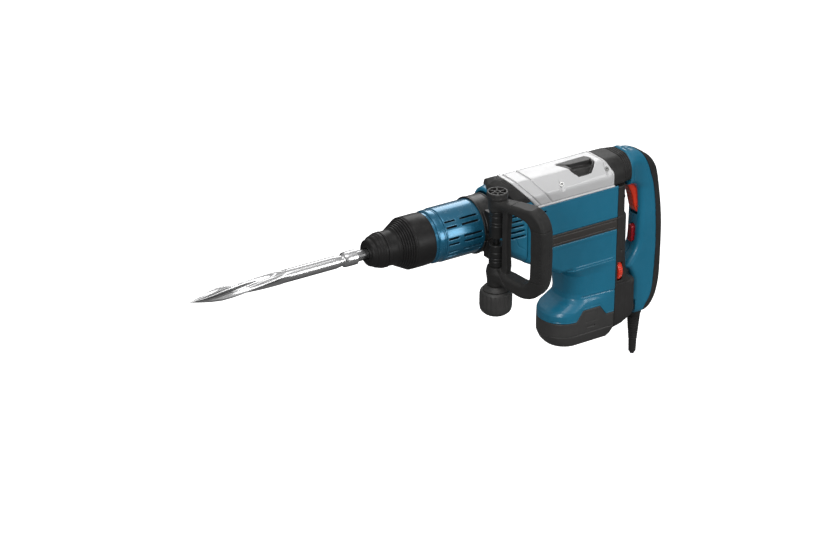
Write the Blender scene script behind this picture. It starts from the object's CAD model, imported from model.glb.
"""Electric chisel hammer: detailed shells and finishes over its CAD pieces.

Shapes are worked out in millimetres and meshed in metres. The hammer axis is the X axis:
-X is the chisel point, +X the rear handle, +Y the tool's right side, +Z its top. The motor
hangs below the axis. Most shells are signed distances on a grid, negative inside.
"""
import bmesh
import bpy
import math
import numpy as np
import openvdb as vdb
from functools import reduce
from math import radians as rad
from mathutils import Matrix, Vector

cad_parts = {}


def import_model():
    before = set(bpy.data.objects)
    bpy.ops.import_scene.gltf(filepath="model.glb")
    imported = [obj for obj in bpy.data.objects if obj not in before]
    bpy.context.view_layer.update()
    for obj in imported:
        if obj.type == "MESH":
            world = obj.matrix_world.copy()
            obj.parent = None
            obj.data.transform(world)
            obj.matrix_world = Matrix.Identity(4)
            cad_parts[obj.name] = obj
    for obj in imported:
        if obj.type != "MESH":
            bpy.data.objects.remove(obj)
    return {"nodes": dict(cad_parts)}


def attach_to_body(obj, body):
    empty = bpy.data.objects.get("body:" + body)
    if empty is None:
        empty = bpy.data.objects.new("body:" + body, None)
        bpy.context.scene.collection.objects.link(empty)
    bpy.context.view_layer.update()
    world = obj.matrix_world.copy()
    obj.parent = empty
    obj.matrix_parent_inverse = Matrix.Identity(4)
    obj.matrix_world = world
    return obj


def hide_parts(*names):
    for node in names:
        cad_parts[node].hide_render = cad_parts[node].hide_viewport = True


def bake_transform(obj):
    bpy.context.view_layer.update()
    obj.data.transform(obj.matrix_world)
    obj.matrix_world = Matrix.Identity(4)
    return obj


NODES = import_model()["nodes"]
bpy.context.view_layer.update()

MM = 0.001                       # metres in a millimetre
GRID_COARSENESS = 1.0
DIAGONAL = 0.70711               # scales a 45 degree plane to a true distance

# Places shared by several pieces, in millimetres
HALF_WIDTH = 44.0                # of the moulded body
GEAR_BOTTOM = 20.9               # underside of the gear housing
MOTOR_TOP = 20.5
MOTOR_REAR = 477.6
COVER_FRONT = 478.2              # joint face of the rear cover
COVER_TOP = 18.5
HANDLE_FRONT = 511.0             # where the rear handle meets the bellows
PIVOT_X, PIVOT_Z = 530.0, -236.0  # lower handle pivot
LOCK_Z = -100.0                  # middle of the lock button
DIAL_Y, DIAL_Z = -28.0, -143.0   # axle of the speed dial
CORD_X = 555.0
GRIP_X, GRIP_Y = 213.0, -63.0    # vertical bolt of the side grip
# Rear cover screws: distance from the mid plane, height, x of the recess floor, head shift in x
REAR_SCREWS = ((30.0, -8.0, 496.0, -5.5), (30.0, -96.0, 501.0, -8.5), (32.0, -216.0, 519.0, 4.5))


# ---------------------------------------------------------------- distance fields
class Grid:
    """Sample points from low to high with two steps of margin all round."""

    def __init__(self, low, high, step):
        self.step = step * GRID_COARSENESS
        self.low = np.array(low, np.float64) - 2 * self.step
        self.shape = [math.ceil((b - a) / self.step) + 5 for a, b in zip(low, high)]
        self.axes = np.ix_(*[(start + self.step * np.arange(count)).astype(np.float32)
                             for start, count in zip(self.low, self.shape)])


def meet(*parts):
    """Intersection."""
    return reduce(np.maximum, parts)


def join(*parts):
    """Union."""
    return reduce(np.minimum, parts)


def cut(body, *tools):
    for tool in tools:
        body = np.maximum(body, -tool)
    return body


def soft_join(a, b, blend):
    share = np.clip(0.5 + 0.5 * (b - a) / blend, 0, 1)
    return b + (a - b) * share - blend * share * (1 - share)


def soft_cut(body, tool, blend):
    return -soft_join(-body, tool, blend)


def round_meet(a, b, radius):
    """Intersection with a rounded edge."""
    p, q = a + radius, b + radius
    outside = np.sqrt(np.maximum(p, 0) ** 2 + np.maximum(q, 0) ** 2)
    return outside + np.minimum(np.maximum(p, q), 0) - radius


def bevel(a, b, size):
    """Intersection with a bevelled edge."""
    return meet(a, b, (a + b + size) * DIAGONAL)


def band(a, centre, half):
    return np.abs(a - centre) - half


def slab(a, low, high):
    return band(a, (low + high) / 2, (high - low) / 2)


def shallow(skin, depth):
    """The region no deeper than depth below a skin."""
    return -(skin + depth)


def round_rect(a, b, centre, half, radius):
    return round_meet(np.abs(a - centre[0]) - half[0], np.abs(b - centre[1]) - half[1], radius)


def distance(a, b, centre_a, centre_b):
    return np.sqrt((a - centre_a) ** 2 + (b - centre_b) ** 2)


def disc(a, b, centre_a, centre_b, radius):
    return distance(a, b, centre_a, centre_b) - radius


def ball(x, y, z, centre, radius):
    return np.sqrt((x - centre[0]) ** 2 + (y - centre[1]) ** 2 + (z - centre[2]) ** 2) - radius


def capsule(x, y, z, start, end, radius):
    run = end - start
    t = ((x - start[0]) * run[0] + (y - start[1]) * run[1] + (z - start[2]) * run[2])
    t = np.clip(t / float(run @ run), 0, 1)
    return np.sqrt((x - start[0] - run[0] * t) ** 2 + (y - start[1] - run[1] * t) ** 2
                   + (z - start[2] - run[2] * t) ** 2) - radius


def segment_squared(a, b, start, end):
    run_a, run_b = end[0] - start[0], end[1] - start[1]
    off_a, off_b = a - start[0], b - start[1]
    length_squared = max(run_a * run_a + run_b * run_b, 1e-9)
    t = np.clip((off_a * run_a + off_b * run_b) / length_squared, 0, 1)
    return (off_a - run_a * t) ** 2 + (off_b - run_b * t) ** 2


def outline(a, b, points):
    """Signed distance to a closed polygon."""
    nearest, inside = np.inf, False
    for i, start in enumerate(points):
        end = points[i - 1]
        nearest = np.minimum(nearest, segment_squared(a, b, start, end))
        above, below_end = b >= start[1], b < end[1]
        left = (end[0] - start[0]) * (b - start[1]) > (end[1] - start[1]) * (a - start[0])
        inside = inside ^ ((above & below_end & left) | (~above & ~below_end & ~left))
    nearest = np.sqrt(nearest)
    return np.where(inside, -nearest, nearest).astype(np.float32)


def path_distance(a, b, points):
    """Distance to an open polyline."""
    return np.sqrt(join(*(segment_squared(a, b, *ends) for ends in zip(points, points[1:]))))


def arch(y, z, half_width, top, radius, bottom):
    """Section with round upper corners and a flat bottom."""
    return meet(round_meet(np.abs(y) - half_width, z - top, radius), bottom - z)


def along(axis, stations, values):
    """Values interpolated along one grid axis."""
    return np.interp(axis.ravel(), stations, values).astype(np.float32).reshape(axis.shape)


def by_height(z, table):
    """Columns of a table whose first column is a falling height, interpolated along z."""
    table = np.array(table)
    return [along(-z, -table[:, 0], column) for column in table.T[1:]]


def smooth_step(t):
    return t * t * (3 - 2 * t)


def rounded(points, radius, steps):
    """A closed outline with its corners turned into short arcs."""
    result = []
    for i, corner in enumerate(points):
        corner = Vector(corner)
        back = Vector(points[i - 1]) - corner
        ahead = Vector(points[(i + 1) % len(points)]) - corner
        if back.length < 1e-6 or ahead.length < 1e-6:
            result.append(tuple(corner))
            continue
        reach = min(radius, back.length * 0.45, ahead.length * 0.45)
        start = corner + back / back.length * reach
        end = corner + ahead / ahead.length * reach
        for k in range(steps + 1):
            t = k / steps
            result.append(tuple(start * (1 - t) ** 2 + corner * 2 * t * (1 - t) + end * t * t))
    return result


def spline(points, steps=4):
    """Closed Catmull-Rom curve through points."""
    points = [np.array(point, float) for point in points]
    count = len(points)
    result = []
    for i in range(count):
        a, b, c, d = (points[(i + k) % count] for k in (-1, 0, 1, 2))
        for k in range(steps):
            t = k / steps
            result.append(tuple(0.5 * (2 * b + (-a + c) * t + (2 * a - 5 * b + 4 * c - d) * t * t
                                       + (-a + 3 * b - 3 * c + d) * t ** 3)))
    return result


# ---------------------------------------------------------------- mesh makers
def link_object(name, mesh, sharp_angle=None):
    mesh.shade_smooth()
    if sharp_angle:
        mesh.set_sharp_from_angle(angle=rad(sharp_angle))
    ob = bpy.data.objects.new(name, mesh)
    bpy.context.scene.collection.objects.link(ob)
    return ob


def quad_object(name, points, quads, sharp_angle=None):
    """An object from points in millimetres."""
    mesh = bpy.data.meshes.new(name)
    points = np.asarray(points * MM, np.float32)
    quads = np.asarray(quads, np.int32)
    mesh.vertices.add(len(points))
    mesh.vertices.foreach_set("co", points.ravel())
    mesh.loops.add(quads.size)
    mesh.loops.foreach_set("vertex_index", quads.ravel())
    mesh.polygons.add(len(quads))
    mesh.polygons.foreach_set("loop_start", np.arange(0, quads.size, 4, dtype=np.int32))
    mesh.update(calc_edges=True)
    mesh.validate()
    return link_object(name, mesh, sharp_angle)


def attach(ob, finish, body, node):
    """Gives an object its finish, the body it moves with and the CAD node it stands for."""
    ob.data.materials.append(MATERIALS[finish])
    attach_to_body(ob, body)
    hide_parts(node)


def face_outward(points, quads):
    """Flips the quads of a closed surface if its signed volume is negative."""
    p = points[quads]
    normals = np.cross(p[:, 2] - p[:, 0], p[:, 3] - p[:, 1])
    return quads[:, ::-1] if float((p.mean(1) * normals).sum()) < 0 else quads


def ring_quads(rings, count, closed=True):
    """Quads between successive rings of count points; closed joins the last to the first."""
    here = np.arange(count)
    ahead = (here + 1) % count
    quads = []
    for i in range(rings if closed else rings - 1):
        first, second = i * count, (i + 1) % rings * count
        quads.append(np.stack([first + here, first + ahead, second + ahead, second + here], 1))
    return np.concatenate(quads)


def drop_islands(points, quads):
    """Removes loose groups of under 40 points or under 2% of all points."""
    label = np.arange(len(points))
    a = quads.ravel()
    b = quads[:, [1, 2, 3, 0]].ravel()
    for _ in range(400):
        lowest = np.minimum(label[a], label[b])
        new = label.copy()
        np.minimum.at(new, a, lowest)
        np.minimum.at(new, b, lowest)
        new = new[new]
        new = new[new]
        if (new == label).all():
            break
        label = new
    labels, sizes = np.unique(label, return_counts=True)
    kept = np.isin(label, labels[sizes >= max(40, 0.02 * len(points))])
    renumbered = np.cumsum(kept) - 1
    return points[kept], renumbered[quads[kept[quads[:, 0]]]]


def lerp(a, b, t):
    return a * (1 - t) + b * t


def solid(name, grid, field, transform=None):
    """Meshes the zero level of a field."""
    field = np.broadcast_to(field, grid.shape).astype(np.float32).copy()
    for side in (0, -1):
        field[side] = field[:, side] = field[:, :, side] = 2.0
    volume = vdb.FloatGrid(3.0)
    volume.copyFromArray(field)
    points, quads = volume.convertToQuads(isovalue=0.0)
    points = np.asarray(points, np.float64)
    quads = np.asarray(quads, np.int64)
    # two relaxation steps along the trilinear gradient onto the true surface
    for _ in range(2):
        cell = np.clip(np.floor(points).astype(int), 0, np.array(field.shape) - 2)
        tx, ty, tz = (points - cell).T
        corner = {(a, b, c): field[cell[:, 0] + a, cell[:, 1] + b, cell[:, 2] + c]
                  for a in (0, 1) for b in (0, 1) for c in (0, 1)}
        edge, rise = {}, {}
        for b in (0, 1):
            for c in (0, 1):
                edge[b, c] = lerp(corner[0, b, c], corner[1, b, c], tx)
                rise[b, c] = corner[1, b, c] - corner[0, b, c]
        low, high = lerp(edge[0, 0], edge[1, 0], ty), lerp(edge[0, 1], edge[1, 1], ty)
        value = lerp(low, high, tz)
        gradient = np.stack([
            lerp(lerp(rise[0, 0], rise[1, 0], ty), lerp(rise[0, 1], rise[1, 1], ty), tz),
            lerp(edge[1, 0] - edge[0, 0], edge[1, 1] - edge[0, 1], tz),
            high - low], 1)
        steepness = np.maximum((gradient ** 2).sum(1), (0.35 * grid.step) ** 2)
        points = points - gradient * np.clip(value / steepness, -0.6, 0.6)[:, None] * 0.7
    points, quads = drop_islands(points * grid.step + grid.low, quads)
    quads = face_outward(points, quads)
    if transform:
        points = transform(points)
    return quad_object(name, points, quads)


def lathe(name, points, edge_radius, count=120, upright_at=None):
    """Turns a closed outline of (along, radius) about X, or about a vertical axis at an x."""
    profile = rounded(points, edge_radius, 3)
    angle = np.arange(count) * (2 * math.pi / count)
    axial, radius = np.array(profile).T[:, :, None] * np.ones(count)
    across, other = radius * np.cos(angle), radius * np.sin(angle)
    if upright_at is None:
        points = np.stack([axial, across, other], -1)
    else:
        points = np.stack([across + upright_at, other, axial], -1)
    points = points.reshape(-1, 3)
    quads = face_outward(points, ring_quads(len(profile), count))
    ob = quad_object(name, points, quads, sharp_angle=38)
    bm = bmesh.new()
    bm.from_mesh(ob.data)
    bmesh.ops.remove_doubles(bm, verts=bm.verts, dist=1e-6)
    bmesh.ops.dissolve_degenerate(bm, edges=bm.edges, dist=1e-7)
    bm.to_mesh(ob.data)
    bm.free()
    return ob


# ---------------------------------------------------------------- materials
def new_material(name):
    material = bpy.data.materials.new(name)
    material.use_nodes = True
    tree = material.node_tree
    tree.nodes.clear()
    output = node(tree, "OutputMaterial")
    shader = node(tree, "BsdfPrincipled")
    tree.links.new(shader.outputs[0], output.inputs[0])
    return material, tree, shader


def node(tree, kind, **inputs):
    made = tree.nodes.new("ShaderNode" + kind)
    for name, value in inputs.items():
        made.inputs[name].default_value = value
    return made


def ramp(tree, source, *stops):
    """Grey ramp through (position, value) stops."""
    made = node(tree, "ValToRGB")
    elements = made.color_ramp.elements
    while len(elements) < len(stops):
        elements.new(0.5)
    for element, (position, value) in zip(elements, stops):
        element.position = position
        element.color = (value, value, value, 1)
    tree.links.new(source, made.inputs[0])
    return made.outputs[0]


def mix(tree, factor, first, second):
    """Mixes two colours, each a socket or an RGB triple."""
    made = node(tree, "Mix")
    made.data_type = "RGBA"
    tree.links.new(factor, made.inputs[0])
    for socket, value in ((made.inputs[6], first), (made.inputs[7], second)):
        if isinstance(value, bpy.types.NodeSocket):
            tree.links.new(value, socket)
        else:
            socket.default_value = (*value, 1)
    return made.outputs[2]


def calc(tree, operation, *values):
    """Math node on sockets or numbers."""
    made = node(tree, "Math")
    made.operation = operation
    for socket, value in zip(made.inputs, values):
        if isinstance(value, (int, float)):
            socket.default_value = value
        else:
            tree.links.new(value, socket)
    return made.outputs[0]


def tint(color, factor, lift=0.0):
    return tuple(min(c * factor + lift, 1) for c in color)


def surface(name, base, rough, drift, grain, bump, wear, worn=None, metal=0.0, coat=0.0,
            rough_drift=0.10, stretch=(1, 1, 1), leather=0.0, sheen=0.0, specular=0.5,
            dust=0.10, rim=0.0, grain_height=0.00004, mid_height=0.0004):
    """Finish with slow colour drift, fine grain, worn edges, dark hollows and dust.

    drift: strength of the colour change; grain: noise scale; bump: grain bump strength;
    wear, worn: amount and colour of edge wear; stretch: texture scale per axis;
    leather: cell scale of a leather relief; rim: darkening near the outline;
    grain_height, mid_height: relief in metres.
    """
    material, tree, shader = new_material(name)
    link = tree.links.new
    coords = node(tree, "TexCoord")
    mapping = node(tree, "Mapping", Scale=stretch)
    link(coords.outputs["Object"], mapping.inputs[0])

    def noise(scale, detail, roughness):
        made = node(tree, "TexNoise", Scale=scale, Detail=detail, Roughness=roughness)
        link(mapping.outputs[0], made.inputs["Vector"])
        return made.outputs[0]

    slow = noise(9.0, 4.0, 0.6)
    mid = noise(81.0, 5.0, 0.65)
    fine = noise(grain, 2.0, 0.5)
    color = mix(tree, ramp(tree, slow, (0.3, 0.0), (0.7, 1.0)),
                tint(base, 1 - drift * 1.6), tint(base, 1 + drift * 1.6, drift * 0.01))
    patches = calc(tree, "MULTIPLY", ramp(tree, mid, (0.35, 0.0), (0.7, 1.0)), 0.35)
    color = mix(tree, patches, color, tint(base, 1 + drift * 2.2, 0.004))
    geometry = node(tree, "NewGeometry")
    pointiness = geometry.outputs["Pointiness"]
    edge = ramp(tree, pointiness, (0.515, 0.0), (0.56, 1.0))
    hollow = ramp(tree, pointiness, (0.43, 1.0), (0.49, 0.0))
    broken = calc(tree, "MULTIPLY", edge, ramp(tree, mid, (0.38, 0.15), (0.62, 1.0)))
    color = mix(tree, calc(tree, "MULTIPLY", broken, wear), color, worn or tint(base, 1.5, 0.05))
    color = mix(tree, calc(tree, "MULTIPLY", hollow, 0.55), color, tint(base, 0.35))
    # a trace of dust on faces that look up
    normal = node(tree, "SeparateXYZ")
    link(geometry.outputs["Normal"], normal.inputs[0])
    dusty = calc(tree, "MULTIPLY", ramp(tree, normal.outputs[2], (0.4, 0.0), (1.0, 1.0)),
                 ramp(tree, mid, (0.45, 0.0), (0.75, dust)))
    color = mix(tree, dusty, color, (0.42, 0.40, 0.37))
    if rim:
        # polished steel mirrors the dark surroundings near its outline
        weight = node(tree, "LayerWeight", Blend=0.5)
        outer = ramp(tree, weight.outputs["Facing"], (0.48, 0.0), (0.86, rim))
        color = mix(tree, outer, color, (0.03, 0.03, 0.032))
        shader.inputs["Specular Tint"].default_value = (0.25, 0.25, 0.25, 1)
    link(color, shader.inputs["Base Color"])
    gloss = calc(tree, "MULTIPLY_ADD", mid, rough_drift * 2, rough - rough_drift)
    fine_gloss = calc(tree, "MULTIPLY", calc(tree, "SUBTRACT", fine, 0.5), rough_drift)
    link(calc(tree, "ADD", gloss, fine_gloss), shader.inputs["Roughness"])
    for key, value in (("Metallic", metal), ("Specular IOR Level", specular),
                       ("Coat Weight", coat), ("Coat Roughness", 0.12), ("Sheen Weight", sheen)):
        shader.inputs[key].default_value = value

    relief = node(tree, "Bump", Strength=bump, Distance=grain_height)
    link(fine, relief.inputs["Height"])
    layers = [(mid, 0.12, mid_height)]
    if leather:
        cells = node(tree, "TexVoronoi", Scale=leather)
        link(mapping.outputs[0], cells.inputs["Vector"])
        layers.insert(0, (cells.outputs["Distance"], 0.35, 0.00012))
    for height, strength, depth in layers:
        layer = node(tree, "Bump", Strength=strength, Distance=depth)
        link(height, layer.inputs["Height"])
        link(relief.outputs[0], layer.inputs["Normal"])
        relief = layer
    link(relief.outputs[0], shader.inputs["Normal"])
    return material


FINISHES = {
    "teal_moulding": dict(
        base=(0.0105, 0.188, 0.318), rough=0.34, coat=0.25, drift=0.05, grain=1600, bump=0.22,
        wear=0.30, worn=(0.05, 0.26, 0.42)),
    "blue_coated_metal": dict(
        base=(0.013, 0.150, 0.265), rough=0.25, metal=0.45, coat=0.5, drift=0.05, grain=1400,
        bump=0.10, wear=0.4, worn=(0.30, 0.52, 0.68)),
    "silver_casting": dict(
        base=(0.71, 0.71, 0.715), rough=0.42, metal=0.15, drift=0.03, grain=1300, bump=0.28,
        wear=0.5, worn=(0.95, 0.95, 0.94), coat=0.15),
    "black_nylon": dict(
        base=(0.030, 0.029, 0.0285), rough=0.42, specular=0.4, drift=0.15, grain=1500, bump=0.55,
        grain_height=0.00006, wear=0.35, worn=(0.075, 0.073, 0.07), leather=1500),
    "grey_black_nylon": dict(
        base=(0.052, 0.051, 0.050), rough=0.44, specular=0.4, drift=0.13, grain=1500, bump=0.55,
        grain_height=0.00006, wear=0.3, worn=(0.10, 0.10, 0.098), leather=1500),
    "black_rubber": dict(
        base=(0.029, 0.0285, 0.028), rough=0.50, specular=0.18, drift=0.15, grain=1100, bump=0.5,
        grain_height=0.00007, wear=0.30, worn=(0.07, 0.068, 0.066), leather=900, sheen=0.04,
        dust=0.05),
    "chuck_rubber": dict(
        base=(0.016, 0.0155, 0.0155), rough=0.40, specular=0.18, dust=0.04, drift=0.12,
        grain=1200, bump=0.35, wear=0.35, worn=(0.08, 0.078, 0.076)),
    "black_coated_casting": dict(
        base=(0.020, 0.020, 0.020), rough=0.38, metal=0.3, drift=0.12, grain=900, bump=0.5,
        grain_height=0.0001, wear=0.35, worn=(0.12, 0.12, 0.12)),
    "dark_trim": dict(
        base=(0.045, 0.040, 0.036), rough=0.45, drift=0.12, grain=1300, bump=0.4, wear=0.3),
    "orange_red": dict(
        base=(0.86, 0.045, 0.012), rough=0.33, coat=0.3, drift=0.05, grain=1500, bump=0.2,
        wear=0.3, worn=(1.0, 0.22, 0.10), dust=0.03),
    "dark_red": dict(
        base=(0.40, 0.006, 0.012), rough=0.34, coat=0.3, drift=0.06, grain=1500, bump=0.2,
        wear=0.4, worn=(0.75, 0.06, 0.05), dust=0.02),
    "forged_bright_steel": dict(
        base=(0.76, 0.76, 0.765), rough=0.26, metal=1.0, rim=0.92, mid_height=0.00006,
        drift=0.05, grain=700, bump=0.14, wear=0.35, worn=(0.95, 0.95, 0.95),
        stretch=(0.06, 1, 1), rough_drift=0.05, dust=0.0),
    "ground_steel": dict(
        base=(0.52, 0.52, 0.53), rough=0.24, metal=1.0, drift=0.06, grain=900, bump=0.2,
        wear=0.3, stretch=(1, 1, 0.15), dust=0.0),
    "bearing_steel": dict(
        base=(0.6, 0.6, 0.61), rough=0.15, metal=1.0, drift=0.04, grain=900, bump=0.1,
        wear=0.3, dust=0.0),
    "zinc_screws": dict(
        base=(0.55, 0.55, 0.54), rough=0.30, metal=1.0, drift=0.08, grain=1400, bump=0.2,
        wear=0.4, dust=0.02),
    "black_screws": dict(
        base=(0.03, 0.03, 0.03), rough=0.35, metal=0.7, drift=0.1, grain=1400, bump=0.25,
        wear=0.5, dust=0.02),
    "oiled_spring": dict(
        base=(0.32, 0.32, 0.34), rough=0.28, metal=1.0, drift=0.08, grain=1400, bump=0.2,
        wear=0.3, dust=0.0),
    "die_cast_alloy": dict(
        base=(0.55, 0.55, 0.54), rough=0.42, metal=0.9, drift=0.08, grain=700, bump=0.5,
        grain_height=0.0001, wear=0.35, dust=0.02),
    "lamination_stack": dict(
        base=(0.20, 0.17, 0.15), rough=0.5, metal=0.6, drift=0.15, grain=600, bump=0.6,
        grain_height=0.0002, wear=0.3, stretch=(0.1, 0.1, 6), dust=0.0),
    "pressed_carbon": dict(
        base=(0.03, 0.03, 0.03), rough=0.6, drift=0.2, grain=1200, bump=0.6, wear=0.3, dust=0.0),
    "turned_copper": dict(
        base=(0.62, 0.30, 0.16), rough=0.28, metal=1.0, drift=0.1, grain=900, bump=0.2,
        wear=0.3, stretch=(6, 6, 0.2), dust=0.0),
    "fan_nylon": dict(
        base=(0.20, 0.19, 0.17), rough=0.45, drift=0.08, grain=1200, bump=0.3, wear=0.3,
        dust=0.02),
    "cord_rubber": dict(
        base=(0.013, 0.013, 0.014), rough=0.48, drift=0.15, grain=900, bump=0.5, wear=0.2,
        leather=1200),
    "dark_liner": dict(
        base=(0.006, 0.006, 0.006), rough=0.7, drift=0.1, grain=900, bump=0.2, wear=0.05,
        dust=0.0),
}
MATERIALS = {name: surface(name, **values) for name, values in FINISHES.items()}

# Finish of each CAD piece; pieces not listed are black nylon
CAD_FINISHES = {
    "zinc_screws": "gear_housing_screws",
    "black_screws": "casing_screws handle_screws clamp_bolt",
    "black_coated_casting": "barrel_tube clamp_band",
    "ground_steel": "hammer_cylinder handle_pivot_pin trigger_pin tool_holder_tube rotor_shaft "
                    "crankshaft crank_gear wrist_pin striker impact_bolt",
    "die_cast_alloy": "gear_plate piston connecting_rod",
    "bearing_steel": "crank_bearing rotor_bearings locking_rollers",
    "lamination_stack": "stator armature",
    "pressed_carbon": "carbon_brushes",
    "oiled_spring": "damper_springs sleeve_spring",
    "cord_rubber": "power_cord",
    "turned_copper": "commutator",
    "fan_nylon": "cooling_fan",
    "silver_casting": "gear_housing",
    "black_rubber": "top_guard bellows_front bellows_rear handle_grip cord_boot side_grip "
                    "side_grip_pad",
    "teal_moulding": "front_casing motor_housing handle_shell_left handle_shell_right",
    "blue_coated_metal": "barrel_sleeve adjusting_ring",
    "dark_trim": "side_trims",
    "orange_red": "trigger speed_dial",
    "dark_red": "lock_button",
    "chuck_rubber": "dust_cap locking_sleeve",
    "forged_bright_steel": "chisel",
}
finish_of = {piece: finish for finish, pieces in CAD_FINISHES.items() for piece in pieces.split()}
for name, ob in NODES.items():
    ob.data.materials.clear()
    ob.data.materials.append(MATERIALS[finish_of.get(name, "black_nylon")])

# ---------------------------------------------------------------- chisel and tool holder
# (x, radius) from the rear end of the shank forward past the collar
CHISEL_SHANK = (
    (74.9, 0.4), (75.0, 7.6), (73.8, 8.9), (72.0, 9.0), (20.0, 9.0), (-20.6, 9.0), (-21.2, 9.3),
    (-21.4, 11.6), (-22.2, 12.4), (-26.0, 12.5), (-38.0, 12.5), (-43.4, 12.4), (-44.8, 12.0),
    (-46.0, 10.2), (-47.5, 9.25), (-50.0, 9.0))
# distance in front of the origin, and radius of the four twisted ridges there
RIDGE_STATIONS = (134, 160, 200, 255, 272, 290, 308, 320, 325)
RIDGE_RADII = (10.6, 10.9, 11.6, 11.9, 11.2, 8.4, 4.6, 1.7, 0.5)


def chisel():
    count = 96
    neck_radius, shaft_radius = 9.0, 10.6
    angle = np.arange(count) * 2 * math.pi / count
    rings = [(x, np.full(count, r)) for x, r in CHISEL_SHANK]
    for x in np.linspace(-54, -130, 14):
        swell = 1.6 * min((-50.0 - x) / 10.0, 1.0)
        rings.append((x, np.full(count, neck_radius + swell)))
    for x in np.concatenate([np.linspace(-134, -316, 92), np.linspace(-317, -325, 8)]):
        fluting = smooth_step(min(max((-x - 134) / 52.0, 0.0), 1.0))
        ridge = float(np.interp(-x, RIDGE_STATIONS, RIDGE_RADII))
        valley = ridge * (1 - 0.46 * fluting)
        twist = rad(60) + rad(0.66) * (-x - 158)
        crest = np.clip(0.5 + 0.5 * np.cos(4 * (angle - twist)), 0, 1) ** 2.2
        base = shaft_radius * (1 - fluting) + valley * fluting
        rings.append((x, base + (ridge - base) * crest * min(fluting * 1.6, 1.0)))
    points = [np.stack([np.full(count, x), r * np.cos(angle), r * np.sin(angle)], 1)
              for x, r in rings]
    points = np.concatenate(points + [[[rings[0][0], 0, 0], [rings[-1][0] - 0.2, 0, 0]]])
    faces = ring_quads(len(rings), count, closed=False).tolist()
    rear_centre = len(rings) * count
    last = rear_centre - count
    for k in range(count):
        ahead = (k + 1) % count
        faces += [(rear_centre, k, ahead), (rear_centre + 1, last + ahead, last + k)]
    mesh = bpy.data.meshes.new("pointed_chisel")
    mesh.from_pydata((points * MM).tolist(), [], faces)
    bm = bmesh.new()
    bm.from_mesh(mesh)
    bmesh.ops.recalc_face_normals(bm, faces=bm.faces)
    bm.to_mesh(mesh)
    bm.free()
    ob = link_object("pointed_chisel", mesh, sharp_angle=40)
    attach(ob, "forged_bright_steel", "chisel", "chisel")


# Turned outlines of (x, radius)
DUST_CAP = [
    (3.0, 9.6), (0.3, 9.6), (0.0, 10.2), (0.0, 12.4), (0.8, 13.0), (1.8, 13.6), (1.8, 16.6),
    (0.9, 17.2), (0.9, 18.4), (0.2, 19.2), (0.6, 20.8), (2.2, 22.2), (4.4, 22.9), (8.0, 23.4),
    (8.8, 24.6), (10.2, 26.0), (14.0, 27.2), (14.4, 26.8), (15.0, 27.5), (18.6, 28.8),
    (19.0, 28.4), (19.6, 29.1), (21.8, 29.8), (24.8, 29.8), (25.6, 29.0), (25.6, 23.4),
    (34.0, 23.4), (34.0, 22.1), (25.0, 22.1), (25.0, 17.1), (3.0, 17.1)]
SLEEVE_FRONT = [
    (26.2, 24.0), (26.2, 28.9), (27.2, 30.0), (30.4, 30.0), (31.2, 29.2), (34.0, 29.2),
    (44.0, 29.6), (46.4, 30.6)]
SLEEVE_RIB = [(0, 0.9), (0.3, 1.5), (2.0, 1.75), (2.35, 1.3), (2.5, 0.15)]
SLEEVE_REAR = [
    (72.6, 43.2), (73.4, 43.9), (75.4, 44.2), (98.0, 44.2), (106.8, 43.8), (108.6, 43.0),
    (108.6, 42.6), (82.0, 42.5), (74.0, 40.4), (52.0, 27.6), (46.0, 24.0)]
ADJUSTING_RING = [
    (104.0, 30.0), (104.0, 42.1), (113.5, 42.1), (113.7, 43.4), (114.4, 44.2), (115.4, 44.5),
    (116.0, 45.0), (124.4, 45.0), (125.0, 44.5), (125.6, 44.5), (126.0, 45.0), (127.5, 45.0),
    (128.05, 44.5), (128.05, 36.0), (124.0, 36.0), (124.0, 30.0)]


def tool_holder():
    attach(lathe("dust_cap_shell", DUST_CAP, 0.4), "chuck_rubber", "tool_holder", "dust_cap")
    # seven ribs climb the cone of the locking sleeve
    ribs = [(48.0 + 3.45 * i + x, 31.2 + 1.86 * i + r) for i in range(7) for x, r in SLEEVE_RIB]
    sleeve = lathe("locking_sleeve_shell", SLEEVE_FRONT + ribs + SLEEVE_REAR, 0.45, count=144)
    attach(sleeve, "chuck_rubber", "locking_sleeve", "locking_sleeve")
    attach(lathe("adjusting_ring_shell", ADJUSTING_RING, 0.35, count=216),
           "blue_coated_metal", "tool_holder", "adjusting_ring")


def barrel_sleeve():
    grid = Grid((126, -48, -48), (205, 48, 48), 0.85)
    x, y, z = grid.axes
    outer, inner = 46.0, 42.4
    radius = np.sqrt(y ** 2 + z ** 2)
    body = cut(bevel(slab(x, 128.4, 203.0), radius - outer, 1.3), radius - inner)
    # vent slots in two rows on both sides; angles are degrees above horizontal
    angle = np.arctan2(z, np.abs(y))
    for degrees in (48.0, 35.0, 10.5, -1.5, -20.0, -32.0):
        across = (angle - rad(degrees)) * 45.0
        for start, end in ((130.5, 152.0), (161.0, 197.0 if degrees < 15 else 194.5)):
            slot = round_rect(x, across, ((start + end) / 2, 0.0), ((end - start) / 2, 1.55), 1.5)
            body = cut(body, meet(slot, 38.0 - radius))
    attach(solid("barrel_sleeve_shell", grid, body),
           "blue_coated_metal", "housing", "barrel_sleeve")


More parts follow.
